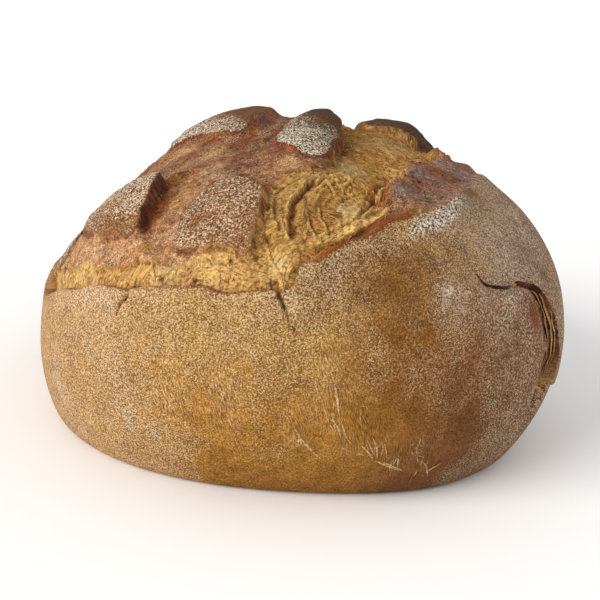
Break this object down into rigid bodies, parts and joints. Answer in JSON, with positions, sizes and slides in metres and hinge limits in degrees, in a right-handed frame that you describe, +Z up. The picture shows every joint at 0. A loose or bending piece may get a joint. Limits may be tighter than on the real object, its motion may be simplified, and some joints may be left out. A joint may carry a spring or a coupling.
{
  "type": "rye bread loaf",
  "caption": "Round country rye loaf with a floured crust, a torn scored top with raised tiles and a folded side seam, flat underneath to stand on.",
  "frame": {"origin": "middle of the flat underside, on the surface the loaf stands on", "axes": "+Z up, front with the long tear towards -Y, folded seam on the +X side"},
  "size_m": [0.2578, 0.2534, 0.1508],
  "materials": {
    "crust": "dry baked crust dusted with flour, matt"
  },
  "bodies": {
    "root": {"loaf": "crust"}
  },
  "joints": []
}
